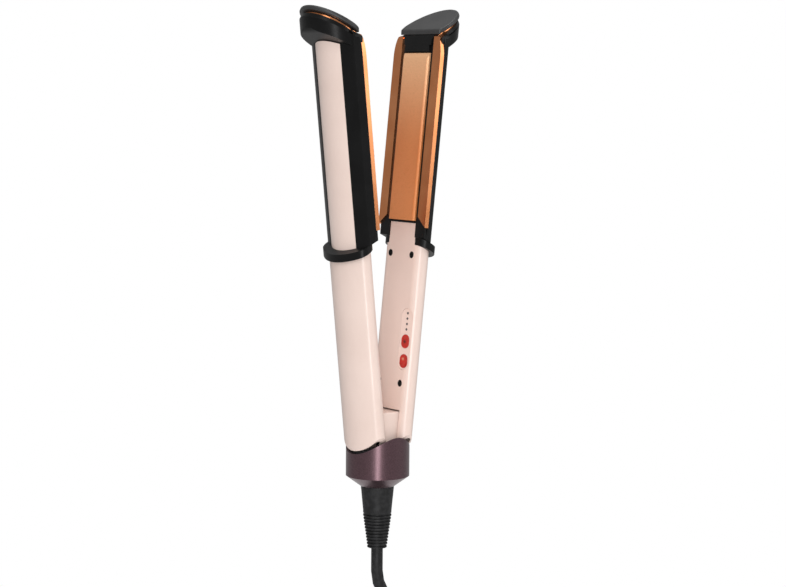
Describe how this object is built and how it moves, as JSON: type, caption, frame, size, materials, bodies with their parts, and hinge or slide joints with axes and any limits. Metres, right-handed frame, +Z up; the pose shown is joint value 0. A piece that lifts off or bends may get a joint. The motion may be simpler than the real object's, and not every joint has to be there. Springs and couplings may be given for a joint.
{
  "type": "hair straightener",
  "caption": "Hair straightener with two hinged arms, floating heated plates, slanted tips, control buttons, a ribbed strain relief and a mains lead folded into a hank.",
  "frame": {"origin": "centre of the collar's flat foot, where the strain relief turns", "axes": "+Z up along the closed handles to the tips, +X towards the arm with the buttons, -Y is the side that the button pill leans to"},
  "size_m": [0.1202, 0.0518, 0.6276],
  "materials": {
    "pink_paint": "satin blush pink lacquer over plastic",
    "plum_plastic": "dark plum metallic gloss",
    "black_rubber": "matt black flexible PVC or rubber",
    "black_plastic": "satin black heat-resistant plastic",
    "steel": "plain zinc-plated steel",
    "zinc": "die-cast zinc",
    "brass": "plain brass",
    "brass_plated": "nickel-plated brass",
    "clear_plastic": "clear light pipe",
    "circuit_board": "green circuit board",
    "red_plastic": "glossy red",
    "strap": "black hook and loop strap",
    "copper": "metallic copper paint",
    "copper_ceramic": "copper coloured ceramic coating on aluminium",
    "grey_satin": "satin dark grey",
    "silicone": "silicone rubber",
    "aluminium": "plain aluminium"
  },
  "bodies": {
    "base": {"base_collar": "plum_plastic", "collar_gasket": "black_rubber", "hinge_bracket": "steel", "bracket_screws": "steel", "slip_contact": "brass", "hinge_cover": "pink_paint", "right_hinge_pin": "steel", "left_hinge_pin": "steel", "right_arm_spring": "steel", "left_arm_spring": "steel"},
    "right_arm": {"right_handle_shell": "pink_paint", "right_inner_cover": "pink_paint", "right_cover_screws": "black_plastic", "right_lug": "zinc", "right_head_frame": "black_plastic", "right_head_back": "black_plastic", "right_back_panel": "pink_paint", "right_copper_rim": "copper", "right_tip_cap": "grey_satin", "right_tip_block": "black_plastic", "right_plate_springs": "silicone", "right_leads": "silicone", "control_panel": "pink_paint", "light_pipes": "clear_plastic", "control_board": "circuit_board"},
    "left_arm": {"left_handle_shell": "pink_paint", "left_inner_cover": "pink_paint", "left_cover_screws": "black_plastic", "left_lug": "zinc", "left_head_frame": "black_plastic", "left_head_back": "black_plastic", "left_back_panel": "pink_paint", "left_copper_rim": "copper", "left_tip_cap": "grey_satin", "left_tip_block": "black_plastic", "left_plate_springs": "silicone", "left_leads": "silicone"},
    "right_plate_unit": {"right_plate": "copper_ceramic", "right_plate_carrier": "black_plastic", "right_heater": "aluminium"},
    "left_plate_unit": {"left_plate": "copper_ceramic", "left_plate_carrier": "black_plastic", "left_heater": "aluminium"},
    "power_key": {"power_button": "red_plastic"},
    "mode_key": {"mode_button": "red_plastic"},
    "cord_set": {"strain_relief": "black_rubber", "swivel_ring": "black_plastic", "mains_cord": "black_rubber", "cord_hank": "black_rubber", "hank_tie": "strap", "cord_tail": "black_rubber", "plug_body": "black_rubber", "plug_pins": "brass_plated"}
  },
  "joints": [
    {"name": "right_arm_hinge", "type": "hinge", "parent": "base", "child": "right_arm", "pos_m": [0.008, 0, 0.012], "axis": [0, -1, 0], "range_deg": [0, 6.05], "stiffness_Nm_per_rad": 0.5, "springref_deg": -17.19, "deforming": ["right_arm_spring"]},
    {"name": "left_arm_hinge", "type": "hinge", "parent": "base", "child": "left_arm", "pos_m": [-0.008, 0, 0.012], "axis": [0, -1, 0], "range_deg": [-6.05, 0], "stiffness_Nm_per_rad": 0.5, "springref_deg": 17.19, "deforming": ["left_arm_spring"]},
    {"name": "right_plate_float", "type": "slide", "parent": "right_arm", "child": "right_plate_unit", "axis": [0.9944, 0, -0.1054], "range_m": [0, 0.0009], "stiffness_N_per_m": 4000, "springref_m": -0.0002, "deforming": ["right_plate_springs"]},
    {"name": "left_plate_float", "type": "slide", "parent": "left_arm", "child": "left_plate_unit", "axis": [-0.9944, 0, -0.1054], "range_m": [0, 0.0009], "stiffness_N_per_m": 4000, "springref_m": -0.0002, "deforming": ["left_plate_springs"]},
    {"name": "power_press", "type": "slide", "parent": "right_arm", "child": "power_key", "axis": [0.9793, 0.1736, -0.1038], "range_m": [0, 0.0006], "stiffness_N_per_m": 1500, "springref_m": -0.0003},
    {"name": "mode_press", "type": "slide", "parent": "right_arm", "child": "mode_key", "axis": [0.9793, 0.1736, -0.1038], "range_m": [0, 0.0006], "stiffness_N_per_m": 1500, "springref_m": -0.0003},
    {"name": "cord_swivel", "type": "hinge", "parent": "base", "child": "cord_set", "pos_m": [0, 0, 0], "axis": [0, 0, 1], "continuous": true}
  ],
  "couplings": [
    {"joint": "left_arm_hinge", "follows": "right_arm_hinge", "ratio": -1}
  ]
}
